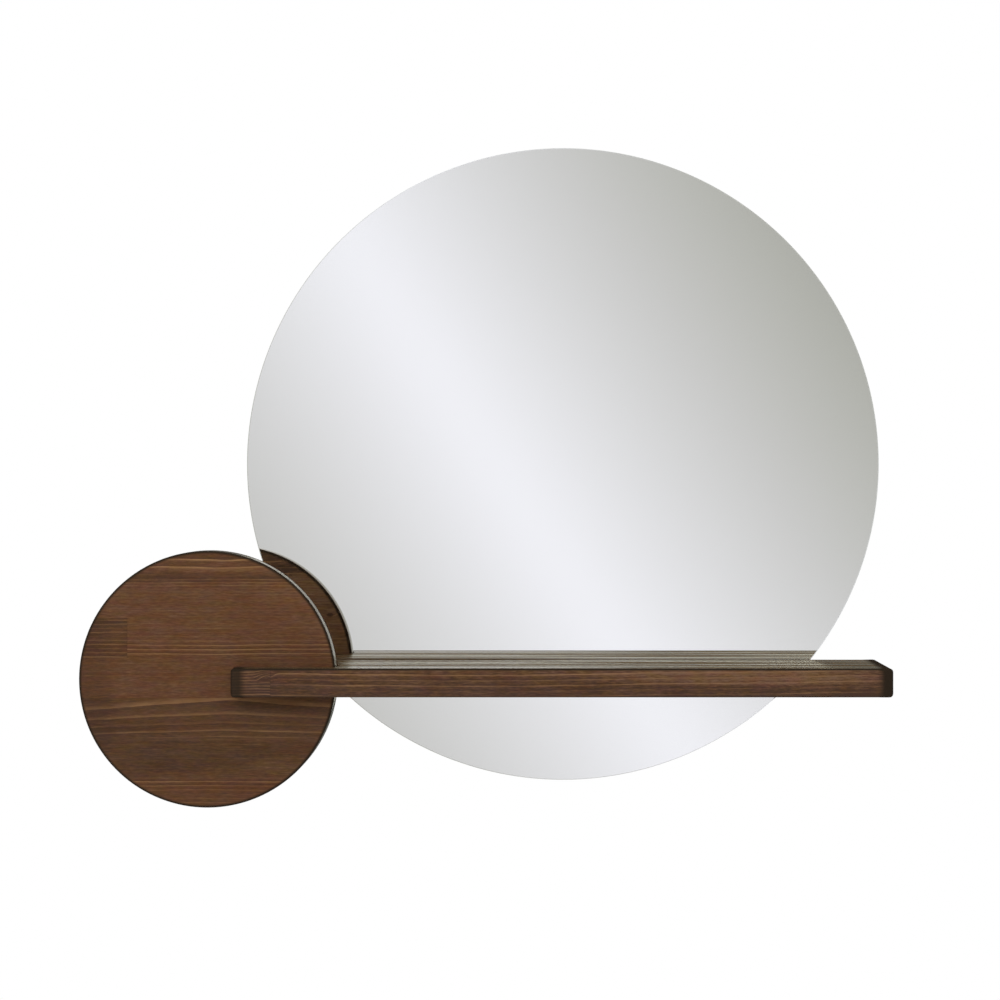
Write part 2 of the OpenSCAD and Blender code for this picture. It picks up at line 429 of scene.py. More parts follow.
def growth(wood, place, kept, u):
    """Counts the growth rings from the tree's core: a whole number at each ring's edge."""
    along, _, deep = place
    far = ((along - wood.peak) / 100) ** 2
    radius = ((u - kept.pith_across) ** 2 + (deep - kept.pith_deep) ** 2) ** 0.5
    radius = radius - kept.bow * ((far + 0.01) ** 0.5 - 0.1)
    wave = sin(along / 31 + kept.seed * 19) * 0.8 + sin(along / 12.7 + u / 11) * 0.4
    wave = wave + sin(along / 5.3 + kept.seed * 7 + u / 3) * 0.15
    radius = radius + wave * kept.waves
    for knot in wood.knots:
        pushed = 1 - smooth(0, knot.radius * 3.5, knot_gap(knot, place))
        radius = radius + pushed * knot.radius * 1.8
    return radius / kept.step + kept.phase


def back_half(deep):
    """0 in the front half of a board, 1 in its back half."""
    return smooth(13, 17, deep)


def summer_wood(wood, ring, u, deep, kept):
    """The place within a ring, the light line at its end, and how strongly that line shows."""
    whole = floor(ring)
    part = ring - whole
    line = smooth(LINE_START, CREST - 0.02, part) * (1 - smooth(CREST + 0.01, 1, part))
    luck = whole * GOLDEN + kept.seed
    luck = luck - floor(luck)
    near = 1 - smooth(4, 9.5, abs(u - kept.accent_at) + highest(deep - 14, 0) * 0.5)
    back = back_half(deep) * wood.back_lines + 1
    strength = kept.lines * (luck * 0.9 + 0.1) * back + kept.accent * near
    return part, line, lowest(strength, 1)


DISC_LOW, DISC_HIGH = node_box("side_disc")
DISC_CENTRE = (DISC_LOW + DISC_HIGH) / 2
DISC_RADIUS = (DISC_HIGH[2] - DISC_LOW[2]) / 2
# The box stops at the tips of the slot's lips, so the left edge and the radius give the centre
DISC_CENTRE[0] = DISC_LOW[0] + DISC_RADIUS
DISC_THICK = DISC_HIGH[1] - DISC_LOW[1]
SHELF_LOW, SHELF_HIGH = node_box("shelf_board")
SHELF_MIDDLE = (SHELF_LOW + SHELF_HIGH) / 2
SHELF_HALF = (SHELF_HIGH - SHELF_LOW) / 2
SHELF_FRONT = SHELF_LOW[1]
BOARD_RADIUS = node_box("backing_board")[1][0]
GLUE_GAP = 0.3  # between the shelf and the disc's slot


def disc_grain_place(x, y, z):
    """Along, across and into the disc's board."""
    return x, -z, y - DISC_LOW[1]


def shelf_grain_place(x, y, z):
    """Along, across and into the shelf's board."""
    return x, y, SHELF_HIGH[2] - z


def disc_rim(x, y, z):
    """How much stain gathers on the disc's rim, which is sanded smooth: most on its edges."""
    radius = ((x - DISC_CENTRE[0]) ** 2 + (z - DISC_CENTRE[2]) ** 2) ** 0.5
    inside = DISC_THICK / 2 - abs(y - DISC_CENTRE[1])
    edges = 1 - smooth(1, 4, inside) * 0.4
    return smooth(DISC_RADIUS - 3.6, DISC_RADIUS - 0.9, radius) * edges


def shelf_rim(x, y, z):
    """1 on the shelf's ends and, thinner, along its front edges."""
    end = abs(x - SHELF_MIDDLE[0]) - SHELF_HALF[0]
    side = SHELF_FRONT - y
    high = z - SHELF_MIDDLE[2] - SHELF_HALF[2]
    low = SHELF_MIDDLE[2] - SHELF_HALF[2] - z
    ends = smooth(-15.5, -7.5, end) * (1 - below(x, SHELF_MIDDLE[0]) * 0.12)
    edges = smooth(-2.3, -0.9, high) + smooth(-2, -0.9, low) * 0.5
    return lowest(ends + edges * smooth(-6, -1.5, side), 1)


def through_cloud(along, across, long, wide, amount):
    """A cloud that goes right through the disc's board."""
    return Cloud((along, across, 0), (long, wide, DEEP), amount)


def back_cloud(along, across, long, wide, amount):
    """A cloud on the disc's back alone."""
    return Cloud((along, across, DISC_THICK), (long, wide, 6), amount)


def front_cloud(along, deep, half, amount):
    """A cloud at the shelf's front, at a depth below its top."""
    return Cloud((along, SHELF_FRONT, deep), half, amount)


# Joints are (row, place along, stave used to the left of it). rim_coat is the gloss of the
# stained rim, and where into the board it starts and ends.
DISC_BOARD = SimpleNamespace(
    place=disc_grain_place,
    rim=disc_rim,
    staves=[
        stave((7.9, 0), step=6.5, waves=0.9, lines=0.2, accent=0.8, accent_at=5.9, tone=0.45, seed=0.3),
        stave((-14.1, 0), step=2.6, lines=0.2, accent=0.3, accent_at=-18, tone=0.55, hue=0.4, seed=0.1),
        stave((6.4, 0), step=3.64, bow=0.4, lines=0.2, accent=0.65, accent_at=11.5, tone=0.55, hue=0.4),
        stave((2, 0), step=3.1, pith_deep=60, lines=0.1, tone=0.51, hue=0.4, seed=0.7),
        stave((-17, 0), step=2.45, pith_across=-27.2, pith_deep=-90, bow=1.4, waves=0.1,
              lines=0.55, tone=0.33, hue=0.7, seed=0.1),
        stave((0, 0), step=3.8, pith_deep=-40, lines=0.08, tone=0.42, hue=0.75, seed=0.4),
        stave((-15, 0), step=3.6, lines=0.35, accent=0.3, accent_at=-15, tone=0.39, hue=0.3, seed=0.8),
        stave((6, 0), step=3.4, lines=0.6, waves=0.5, tone=0.34, seed=0.25),
    ],
    top=68.3,
    peak=-306,
    joints=[(2, -396.7, 7)],
    knots=[Knot((-228.4, 147.5, DISC_THICK), 2.4, 1)],
    clouds=[
        through_cloud(-328, 265, 66, 17, 0.24),
        through_cloud(-250, 262, 40, 12, 0.12),
        through_cloud(-324, 103.9, 400, 4.4, 0.3),
        # Painted shadow: a dark band on the disc just under the shelf
        through_cloud(-258, 221, 70, 6, 0.12),
        through_cloud(-300, 96, 400, 5, -0.2),
        through_cloud(-425, 145.4, 29, 3.4, 0.3),
        through_cloud(-436, 200, 26, 110, 0.2),
        through_cloud(-400, 262, 50, 30, 0.16),
        through_cloud(-240, 118, 34, 14, -0.12),
        through_cloud(-306, 99, 40, 7, -0.15),
        back_cloud(-240, 150, 200, 150, -0.14),
        back_cloud(-280, 94, 32, 15, 0.6),
        back_cloud(-246, 124, 14, 10, -0.06),
        back_cloud(-216, 170, 22, 24, -0.16),
    ],
    contrast=0.8,
    cast=(1, 1, 0.98),
    rim_coat=(1, 2, DISC_THICK * 0.69),
    topside=DEEP,
    back_lines=2,
    back_hue=0.5,
)

SHELF_BOARD = SimpleNamespace(
    place=shelf_grain_place,
    rim=shelf_rim,
    staves=[
        stave((-18.2, 6.1), step=4.7, pith_across=4, pith_deep=84, bow=1.3, lines=0.75,
              tone=0.43, hue=0.9, seed=0.44),
        stave(step=2.7, pith_across=90, pith_deep=10, lines=0.6, tone=0.44, hue=0.6, seed=0.3),
        stave(step=3.4, pith_across=-80, pith_deep=-20, lines=0.6, tone=0.52, hue=0.6, seed=0.6),
        stave(step=3, pith_across=70, pith_deep=40, lines=0.6, tone=0.42, hue=0.6, seed=0.1),
        stave((-18.2, 14), step=2.5, pith_across=-6, pith_deep=-70, waves=0.7, lines=0.9,
              accent=0.3, accent_at=-18.2, tone=0.34, hue=1, seed=0.2),
    ],
    top=SHELF_FRONT,
    peak=-95,
    joints=[(0, -263.5, 4)],
    knots=[Knot((-267, SHELF_FRONT, 6.5), 2.2, 0)],
    clouds=[
        # The first three make the front darker towards its bottom edge, and lighter along its top on
        # the left
        front_cloud(0, 25, (700, 30, 11), 0.16),
        front_cloud(0, 13, (240, 30, 5), 0.1),
        front_cloud(-150, 2, (240, 30, 6), -0.1),
        front_cloud(155, 6, (125, 5, 10), -0.46),
        front_cloud(-235, 13, (45, 30, 40), 0.1),
        front_cloud(235, 26, (170, 30, 8), 0.2),
        front_cloud(225, 9, (60, 20, 8), -0.12),
        front_cloud(280, 26, (34, 30, 6), 0.3),
    ],
    contrast=1.25,
    cast=(1, 1, 1.1),
    rim_coat=(0.04, 0, DEEP),
    topside=SHELF_HIGH[2],
    back_lines=0,
    back_hue=0,
)


def read_grain(wood, place):
    """All that the grain gives at a place along, across and into the board."""
    along, across, deep = place
    kept, u, seam = read_board(wood, along, across)
    ring = growth(wood, place, kept, u)
    return kept, u, seam, *summer_wood(wood, ring, u, deep, kept)


def worn_share(wood, x, y, z):
    """How deep brushing has worn each place: nothing on the hard lines, 1 between them."""
    place = wood.place(x, y, z)
    _, u, _, _, line, strength = read_grain(wood, place)
    along = place[0]
    fibres = sin(u * 4.1 + sin(along / 17) * 2) * sin(along / 23 + u * 1.7)
    worn = 1 - line * (0.35 + 0.65 * strength) - 0.12 * fibres
    return worn * (1 - wood.rim(x, y, z))


# ---- Materials ----


def pine_material(name, wood, settings):
    """Brushed pine with a walnut stain and a satin coat."""
    nodes, (x, y, z) = start_material(name)
    place = wood.place(x, y, z)
    along, _, deep = place
    kept, _, seam, part, line, strength = read_grain(wood, place)
    topside = smooth(wood.topside - 1.2, wood.topside - 0.3, z)
    strength = strength * (1 - topside * 0.7)

    broad = nodes.noise(place, (50, 18, 18), 3)
    lane = smooth(0.37, 0.63, nodes.noise(place, (330, 11, 6), 0))
    streak = nodes.noise(place, (26, 2.2, 2.2), 3, 0.6)
    fibre = nodes.noise(place, (6.5, 0.95, 0.95), 2, 0.6)
    pores = nodes.noise(place, (6, 0.5, 0.5), 1)
    blotch = nodes.texture("ShaderNodeTexNoise", place, (15, 5, 5), ("Color",))
    blush, gold = nodes.add("ShaderNodeSeparateColor", [blotch], ("Red", "Green"))

    dark = seam * 0.25
    ragged = (broad - 0.5) * 1.6
    for one in wood.clouds:
        gap = gap_squared(place, one.centre, one.half) + ragged + (streak - 0.5) * 1.2
        dark = dark + (1 - smooth(0.1, 1.5, gap)) * one.amount
    for one in wood.knots:
        core = 1 - smooth(one.radius * 0.4, one.radius, knot_gap(one, place))
        dark = dark + core * one.dark

    uneven = (broad - 0.5) * 0.3 + (streak - 0.5) * 0.5 + (fibre - 0.5) * 1.4
    ringed = (part - 0.5) * strength * 0.7
    tone = kept.tone + uneven * wood.contrast - dark + ringed
    stain = nodes.ramp(tone, [(0, settings.dark), (0.5, settings.middle), (1, settings.light)])
    hue = (streak - 0.5) * 1.2 + (broad - 0.5) * 1.2 + (blush - 0.5) * 1.8 + kept.hue
    hue = hue + back_half(deep) * wood.back_hue
    cast = nodes.mix(hue, (1.07, 0.93, 0.94), (0.95, 1.04, 1.04))
    stain = nodes.mix(1, stain, cast, "MULTIPLY")
    cast = nodes.mix((gold - 0.5) * 2.6 + 0.5, (1, 1, 1.2), (1, 1, 0.8))
    stain = nodes.mix(1, stain, cast, "MULTIPLY")
    fading = smooth(0.35, 0.6, broad) * 0.6 + 0.55
    shown = line * strength * (0.3 + streak * 1.1) * fading
    shown = shown * (1 - lowest(highest(dark, 0), 0.7))
    stain = nodes.mix(shown, stain, settings.line)
    groove = (1 - line) * smooth(0.5, 0.8, pores) * 0.3
    stain = nodes.mix(groove, stain, settings.dark)
    # The top's stain is tinted olive as painted sheen, standing in for the pale greenish glint of its
    # coat seen at a low angle. Its coat also takes the light in streaks, less beside the disc
    painted_sheen_tint = nodes.mix(topside, wood.cast, (0.85, 1.09, 1.03))
    stain = nodes.mix(1, stain, painted_sheen_tint, "MULTIPLY")
    stained = wood.rim(x, y, z)
    stain = nodes.mix(stained, stain, settings.edge)

    coat, first, last = wood.rim_coat
    ending = smooth(first - 1.5, first + 0.5, deep) * coat
    ending = ending * (1 - smooth(last - 1.5, last + 1.5, deep))
    kept_coat = smooth(-150, 40, along) * 0.3 + 0.86
    plain = lane * 0.1 + topside * (lane * 0.72 + 0.14) * kept_coat + 0.04
    height = streak * 0.5 + fibre * 0.5 + pores * 0.2 + line * 0.3
    return nodes.principled(
        base_color=stain,
        roughness=settings.gloss - (streak - 0.5) * 0.3 - line * 0.05 + groove * 0.2,
        specular=0,
        coat_weight=plain * (1 - stained) + ending * lowest(stained * 1.7, 1),
        coat_roughness=0.25,
        coat_ior=1.5,
        normal=nodes.bump(height * (1 - stained * 0.8), 0.10, 0.6),
    )


def glass_material(settings):
    """Clear float glass, with a faint green where light crosses it."""
    nodes, place = start_material("float_glass")
    x, _, z = place
    polish = nodes.noise(place, 3)
    radius = (x * x + z * z) ** 0.5
    edge = settings.diameter * MM_PER_M / 2
    ground = smooth(edge - settings.arris * MM_PER_M, edge - 0.01, radius)
    return nodes.principled(
        base_color=nodes.mix(ground, settings.tint, srgb(246, 250, 247)),
        roughness=ground * (0.03 + polish * 0.06),
        ior=1.52,
        transmission_weight=1,
    )


def silver_material(settings):
    """The silver's face, with the faintest unevenness of a chemical coat."""
    nodes, place = start_material("silver_face")
    haze = nodes.noise(place, 60, 3)
    colour = nodes.mix(haze * 0.02, settings.silver, srgb(236, 242, 240))
    return nodes.principled(base_color=colour, metallic=1, roughness=0)


def paint_material(settings):
    """Grey protective paint on the back of the silver, rolled on."""
    nodes, place = start_material("back_paint")
    speckle = nodes.noise(place, 0.7, 3)
    drift = nodes.noise(place, (40, 40, 90), 3)
    colour = nodes.mix((drift - 0.5) * 0.7 + 0.2, settings.paint, srgb(98, 105, 104))
    colour = nodes.mix(smooth(0.55, 0.75, speckle) * 0.25, colour, srgb(140, 146, 143))
    relief = nodes.bump(speckle, 0.06, 0.5)
    return nodes.principled(base_color=colour, roughness=0.48 + speckle * 0.1, normal=relief)


def fibreboard_material(colour):
    """Pressed fibreboard: fine fibres on the faces, a darker and rougher sawn edge."""
    nodes, place = start_material("raw_fibreboard")
    x, _, z = place
    fine = nodes.noise(place, 0.9, 4, 0.65)
    strands = nodes.noise(place, (2.6, 0.8, 6), 3, 0.6, 1.5)
    broad = nodes.noise(place, (110, 30, 110))
    edge = smooth(BOARD_RADIUS - 1.7, BOARD_RADIUS - 0.4, (x * x + z * z) ** 0.5)
    shade = nodes.mix(smooth(0.42, 0.72, fine) * 0.55, colour, srgb(142, 110, 76))
    shade = nodes.mix(smooth(0.55, 0.78, strands) * 0.4, shade, srgb(205, 176, 138))
    shade = nodes.mix((broad - 0.3) * 0.35, shade, srgb(158, 124, 88))
    shade = nodes.mix(edge * 0.55, shade, srgb(120, 90, 60))
    relief = nodes.bump(fine + strands * 0.6, 0.10, 0.5)
    roughness = 0.82 + edge * 0.1
    return nodes.principled(base_color=shade, roughness=roughness, specular=0.3, normal=relief)


def foam_material(colour):
    """Closed-cell foam tape: small cells on the cut edges."""
    nodes, place = start_material("foam_tape")
    pores = smooth(0.15, 0.6, nodes.texture("ShaderNodeTexVoronoi", place, 0.35))
    shade = nodes.mix(pores * 0.4, colour, srgb(205, 205, 198))
    relief = nodes.bump(pores, -0.08, 0.6)
    return nodes.principled(base_color=shade, roughness=0.7 + pores * 0.1, normal=relief)


def nylon_material(colour):
    """Moulded nylon, a little cloudy."""
    nodes, place = start_material("natural_nylon")
    cloudy = nodes.noise(place, 3, 3)
    return nodes.principled(
        base_color=nodes.mix(smooth(0.4, 0.7, cloudy) * 0.4, colour, srgb(212, 208, 190)),
        roughness=0.4 + cloudy * 0.1,
        subsurface_weight=0.15,
        subsurface_radius=(0.002, 0.002, 0.0015),
        normal=nodes.bump(cloudy, 0.03, 0.4),
    )


def beech_material(colour):
    """Turned beech with short dark flecks along the dowel."""
    nodes, place = start_material("plain_beech")
    streak = nodes.noise(place, (9, 1 / 1.4, 1 / 1.4), 3)
    fleck = nodes.noise(place, (1.6, 1 / 3, 1 / 3), 1)
    shade = nodes.mix(smooth(0.35, 0.7, streak) * 0.6, colour, srgb(182, 136, 92))
    shade = nodes.mix(smooth(0.62, 0.7, fleck) * 0.5, shade, srgb(132, 90, 58))
    relief = nodes.bump(streak + fleck, 0.05, 0.4)
    return nodes.principled(base_color=shade, roughness=0.6 - streak * 0.1, normal=relief)


def plated_material(name, colour, shadow, grain_size):
    """Zinc plate on steel: crystal patches, fine scratches and a dull bloom."""
    nodes, place = start_material(name)
    patches = nodes.texture("ShaderNodeTexVoronoi", place, grain_size, ("Color",))
    grain = nodes.add("ShaderNodeSeparateColor", [patches], ("Red",))
    scratch = nodes.noise(place, (0.2, 0.2, 4))
    bloom = nodes.noise(place, 5, 3)
    shade = nodes.mix(grain * 0.35, colour, shadow)
    return nodes.principled(
        base_color=nodes.mix(smooth(0.5, 0.75, bloom) * 0.45, shade, shadow),
        metallic=1,
        roughness=0.26 + grain * 0.12 + bloom * 0.12,
        normal=nodes.bump(scratch, 0.02, 0.35),
    )


# ---- Meshes ----


def vertex_values(mesh, key):
    """The places or the normals of a mesh's points, one row for each."""
    values = np.empty(len(mesh.vertices) * 3)
    mesh.vertices.foreach_get(key, values)
    return values.reshape(-1, 3)


def move_vertices(mesh, places):
    mesh.vertices.foreach_set("co", places.ravel())
    mesh.update()


def make_piece(name, points, faces, materials, node, sharp_degrees=30, relief=None):
    """Links a new piece that stands for a CAD node. Points are in millimetres.

    relief gives, for places in millimetres, how many metres each is worn inwards.
    """
    mesh = bpy.data.meshes.new(name)
    mesh.from_pydata((np.asarray(points) * MM).tolist(), [], faces)
    mesh.update()
    if relief:
        places = vertex_values(mesh, "co")
        depth = relief(places * MM_PER_M)[:, None]
        move_vertices(mesh, places - vertex_values(mesh, "normal") * depth)
    mesh.shade_smooth()
    mesh.set_sharp_from_angle(angle=math.radians(sharp_degrees))
    mesh.validate()
    for material in materials:
        mesh.materials.append(material)
    piece = bpy.data.objects.new(name, mesh)
    bpy.context.scene.collection.objects.link(piece)
    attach(piece, BODY)
    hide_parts(node)
    return piece


def circle_loop(centre, radius, count, hole=False):
    """A round outline: its points, the normals out of the material, and no easing for a hole."""
    turn = np.linspace(0, 2 * math.pi, count, endpoint=False)
    outward = np.column_stack([np.cos(turn), np.sin(turn)])
    points = np.array(centre) + outward * radius
    if hole:
        return points[::-1], -outward[::-1], np.zeros(count)
    return points, outward, np.ones(count)


def plate(loops, front, back, levels, fill=None):
    """A flat piece between two depths.

    Each loop is (points, normals, shares). Each level is (inset, rise, part): the outline
    drawn in by inset, at a depth that goes from front (part 0) to back (part 1), plus rise
    away from that face. Both are scaled by the loop's shares. fill is a set of points for the
    inside of both faces. Returns points and faces, and how many faces the front cap has.
    """
    outline, normals = [np.vstack([loop[i] for loop in loops]) for i in (0, 1)]
    shares = np.concatenate([loop[2] for loop in loops])
    counts = [len(loop[0]) for loop in loops]
    total = sum(counts)
    rings = []
    for inset, rise, part in levels:
        flat = outline - normals * (inset * shares)[:, None]
        depth = front + (back - front) * part + rise * shares * (1 - 2 * part)
        rings.append(np.column_stack([flat[:, 0], depth, flat[:, 1]]))

    inner = np.empty((0, 2)) if fill is None else fill
    base = total * len(rings)
    points = list(rings)
    faces = []
    cap_starts = []
    for ring, depth, ring_start, inner_start in (
        (rings[0], front, 0, base),
        (rings[-1], back, base - total, base + len(inner)),
    ):
        cap_starts.append(len(faces))
        points.append(np.column_stack([inner[:, 0], np.full(len(inner), depth), inner[:, 1]]))
        for face in cap_faces(ring[:, [0, 2]], counts, inner, ring_start > 0):
            faces.append([ring_start + i if i < total else inner_start + i - total for i in face])
    for level in range(len(rings) - 1):
        here = level * total
        for count in counts:
            for i in range(count):
                a = here + i
                b = here + (i + 1) % count
                faces.append([a, a + total, b + total, b])
            here += count
    return np.vstack(points), faces, cap_starts[1]


def cap_faces(flat, counts, inner, flip):
    """Triangles that fill the first loop, without the loops after it, which are holes."""
    every = np.vstack([flat, inner])
    edges = []
    start = 0
    for count in counts:
        edges += [(start + i, start + (i + 1) % count) for i in range(count)]
        start += count
    result = delaunay_2d_cdt(every.tolist(), edges, [list(range(counts[0]))], 1, 1e-7)
    sources = [group[0] for group in result[3]]
    found = np.array([[sources[i] for i in face] for face in result[2]])
    corners = every[found]
    middle = corners.mean(axis=1)
    keep = np.ones(len(found), bool)
    start = counts[0]
    for count in counts[1:]:
        hole = flat[start : start + count]
        centre = hole.mean(axis=0)
        radius = np.linalg.norm(hole - centre, axis=1).min()
        keep &= np.linalg.norm(middle - centre, axis=1) > radius
        start += count
    ahead = corners[:, 1] - corners[:, 0]
    aside = corners[:, 2] - corners[:, 0]
    area = ahead[:, 0] * aside[:, 1] - ahead[:, 1] * aside[:, 0]
    turned = (area < 0) != flip
    found[turned] = found[turned][:, ::-1]
    keep &= abs(area) > 1e-9
    return found[keep].tolist()


def rounding_levels(radius, count):
    """Levels of plate() for an edge rounded over on both faces."""
    turns = [math.pi / 2 * i / count for i in range(count + 1)]
    over = [(radius * (1 - math.sin(t)), radius * (1 - math.cos(t))) for t in turns]
    front = [(inset, rise, 0) for inset, rise in over]
    back = [(inset, rise, 1) for inset, rise in reversed(over)]
    return front, back


def drilled_round(settings, radius):
    """The outline of glass or silver with the four holes for the shelf's screws."""
    low, high = node_box("glass_bushes")
    flange = high[2] - low[2]
    columns = np.linspace(low[0] + flange / 2, high[0] - flange / 2, 4)
    height = (low[2] + high[2]) / 2
    bore = settings.hole_diameter * MM_PER_M / 2
    holes = [circle_loop((x, height), bore, 48, hole=True) for x in columns]
    return [circle_loop((0, 0), radius, 480), *holes]


def graded(low, high, rounding, step, extra=()):
    """Places from low to high, close together where the edges are rounded."""
    near = [rounding * (1 - math.cos(math.pi / 2 * i / 5)) for i in range(6)]
    inner = high - low - 2 * rounding
    between = np.linspace(0, inner, max(2, math.ceil(inner / step) + 1))[1:-1]
    places = [low + d for d in near] + [low + rounding + d for d in between]
    places = sorted([*places, *(high - d for d in near), *extra])
    return np.array([p for i, p in enumerate(places) if i == 0 or p - places[i - 1] > 1e-6])


def box_shell(xs, ys, zs):
    """The surface of a block whose grid lines are given, as points and outward quads."""
    shape = (len(xs), len(ys), len(zs))
    on_surface = np.zeros(shape, bool)
    for axis in range(3):
        for end in (0, -1):
            cut = [slice(None)] * 3
            cut[axis] = end
            on_surface[tuple(cut)] = True
    index = np.full(shape, -1)
    index[on_surface] = np.arange(on_surface.sum())
    grid = np.stack(np.meshgrid(xs, ys, zs, indexing="ij"), axis=-1)
    quads = []
    for axis in range(3):
        for end, flip in ((-1, False), (0, True)):
            side = np.take(index, end, axis=axis)
            if axis == 1:
                side = side.T
            quad = np.stack([side[:-1, :-1], side[1:, :-1], side[1:, 1:], side[:-1, 1:]], axis=-1)
            quad = quad.reshape(-1, 4)
            quads.append(quad[:, ::-1] if flip else quad)
    return grid[on_surface], np.vstack(quads)


def round_corner(points, first, second, radius):
    """Rounds the shelf's four edges that are seen as corners along the third axis."""
    a = points[:, first] - SHELF_MIDDLE[first]
    b = points[:, second] - SHELF_MIDDLE[second]
    over_a = abs(a) - (SHELF_HALF[first] - radius)
    over_b = abs(b) - (SHELF_HALF[second] - radius)
    reach = np.hypot(np.maximum(over_a, 0), np.maximum(over_b, 0))
    cut = (over_a > 0) & (over_b > 0) & (reach > radius)
    scale = np.where(cut, radius / np.maximum(reach, 1e-9), 1)
    for axis, offset, over in ((first, a, over_a), (second, b, over_b)):
        moved = np.sign(offset) * (SHELF_HALF[axis] - radius + over * scale) + SHELF_MIDDLE[axis]
        points[:, axis] = np.where(cut, moved, points[:, axis])


def disc_outline(settings, slot_end):
    """The disc's outline with its slot, going round against the clock from the slot's top lip."""
    centre = DISC_CENTRE[[0, 2]]
    half = settings.slot_height * MM_PER_M / 2
    corner = settings.slot_corner * MM_PER_M
    ease = settings.slot_easing / settings.rim_rounding
    top = SHELF_MIDDLE[2] + half
    bottom = SHELF_MIDDLE[2] - half
    first = math.asin((top - centre[1]) / DISC_RADIUS)
    last = 2 * math.pi + math.asin((bottom - centre[1]) / DISC_RADIUS)
    turn = np.linspace(first, last, 800)
    rim_normals = np.column_stack([np.cos(turn), np.sin(turn)])
    rim = centre + rim_normals * DISC_RADIUS
    from_lip = DISC_RADIUS * np.minimum(turn - first, last - turn)
    rim_shares = ease + (1 - ease) * smooth(0, 4, from_lip)

    corner_x = slot_end + corner

    def inner_corner(centre_z, start):
        """Points and normals of a quarter turn at the slot's inner end."""
        turns = [start + math.pi / 2 * i / 6 for i in range(1, 7)]
        ways = [(math.sin(t), math.cos(t)) for t in turns]
        return [((corner_x - corner * dx, centre_z - corner * dz), (dx, dz)) for dx, dz in ways]

    walls = [((x, bottom), (0, 1)) for x in np.linspace(rim[-1][0], corner_x, 60)[1:]]
    walls += inner_corner(bottom + corner, 0)
    walls += [((slot_end, z), (1, 0)) for z in np.linspace(bottom + corner, top - corner, 26)[1:]]
    walls += inner_corner(top - corner, math.pi / 2)
    walls += [((x, top), (0, -1)) for x in np.linspace(corner_x, rim[0][0], 60)[1:-1]]

    # At the two lips the outline turns a corner, and the normal is shared between both sides
    for place, wall_normal in ((0, (0, -1)), (-1, (0, 1))):
        shared = rim_normals[place] + np.array(wall_normal)
        rim_normals[place] = shared / (1 + rim_normals[place] @ np.array(wall_normal))
    points = np.vstack([rim, [point for point, _ in walls]])
    outward = np.vstack([rim_normals, [normal for _, normal in walls]])
    return points, outward, np.concatenate([rim_shares, np.full(len(walls), ease)])


# ---- Stage ----


def make_floor(settings):
    """A pale round floor that fades to white away from the object."""
    count = 128
    turn = [2 * math.pi * i / count for i in range(count)]
    rings = [settings.floor_radius * share for share in (1, 0.6, 0.3)]
    height = -settings.floor_drop
    points = [(r * math.cos(t), r * math.sin(t), height) for r in rings for t in turn]
    faces = []
    for start in (0, count):
        for i in range(count):
            a = start + i
            b = start + (i + 1) % count
            faces.append((a, b, b + count, a + count))
    faces.append(tuple(range(2 * count, 3 * count)))
    mesh = bpy.data.meshes.new("floor")
    mesh.from_pydata(points, [], faces)
    nodes, (x, y, _) = start_material("pale_floor")
    camera_ray, glossy_ray, clear_ray = nodes.ray_kinds()
    seen = highest(highest(camera_ray, glossy_ray), clear_ray)
    distance = (x * x + y * y) ** 0.5
    far = smooth(900, settings.floor_radius * MM_PER_M * 0.85, distance) * seen
    plain = nodes.add("ShaderNodeBsdfDiffuse", {"Color": (0.82, 0.82, 0.82)})
    white = nodes.add("ShaderNodeEmission", {"Color": (1, 1, 1), "Strength": 1})
    nodes.surface(nodes.add("ShaderNodeMixShader", [far, plain, white]))
    mesh.materials.append(nodes.owner)
    floor_piece = bpy.data.objects.new("floor", mesh)
    bpy.context.scene.collection.objects.link(floor_piece)


def make_world(scene, settings):
    """White to the camera, a soft studio sweep to the mirror, even light on the rest."""
    scene.world = bpy.data.worlds.new("studio")
    nodes = Nodes(scene.world)
    x, y, z = nodes.split(nodes.add("ShaderNodeTexCoord", (), ("Generated",)))
    camera_ray, glossy_ray, clear_ray = nodes.ray_kinds()

    # Brightness falls away on both sides of slanted bands of light, as on a lit backdrop
    band_way = (-0.8384, -0.545)
    band_start = -0.01734
    band_reach = 0.2
    brightest = 0.9412
    fall = 1.8
    soft = 0.012
    band = x * band_way[0] + z * band_way[1] + band_start
    band = band.math("PINGPONG", band_reach)
    shown = brightest - ((band * band + soft**2) ** 0.5 - soft) * fall
    sweep = ((shown + 0.055) / 1.055) ** 2.4 * 1.11
    casts = [(0.7, (0.935, 0.935, 0.869)), (0.8, (0.937, 0.931, 0.925)), (0.94, (0.955, 0.952, 1))]
    cast = nodes.ramp(shown, casts)
    # Beside what the mirror shows from the front the studio is brighter, and dim behind it
    spread = (x * x + z * z) ** 0.5
    wide = smooth(0.15, 0.26, spread)
    level = sweep * (1 - wide) + wide * 1.3
    cast = nodes.mix(wide, cast, (0.98, 0.97, 0.77))
    cast = nodes.mix(smooth(0.4, 0.6, spread), cast, (1, 1, 1))
    behind = smooth(-0.25, 0.35, y)
    level = level * (1 - behind) + behind * (0.25 + clear_ray * 0.69)
    cast = nodes.mix(behind * (1 - clear_ray), cast, (0.92, 1, 0.9))
    mirrored = nodes.add("ShaderNodeBackground", {"Color": cast, "Strength": level})
    even_level = (z * 0.2 + smooth(-0.2, 0.6, y) * 0.5 + 1) * settings.ambient
    white = (1, 1, 1)
    even = nodes.add("ShaderNodeBackground", {"Color": white, "Strength": even_level})
    plain = nodes.add("ShaderNodeBackground", {"Color": white, "Strength": 1})
    smooth_ray = highest(glossy_ray, clear_ray)
    lit = nodes.add("ShaderNodeMixShader", [smooth_ray, even, mirrored])
    seen = nodes.add("ShaderNodeMixShader", [camera_ray, lit, plain])
    nodes.surface(seen, "ShaderNodeOutputWorld")


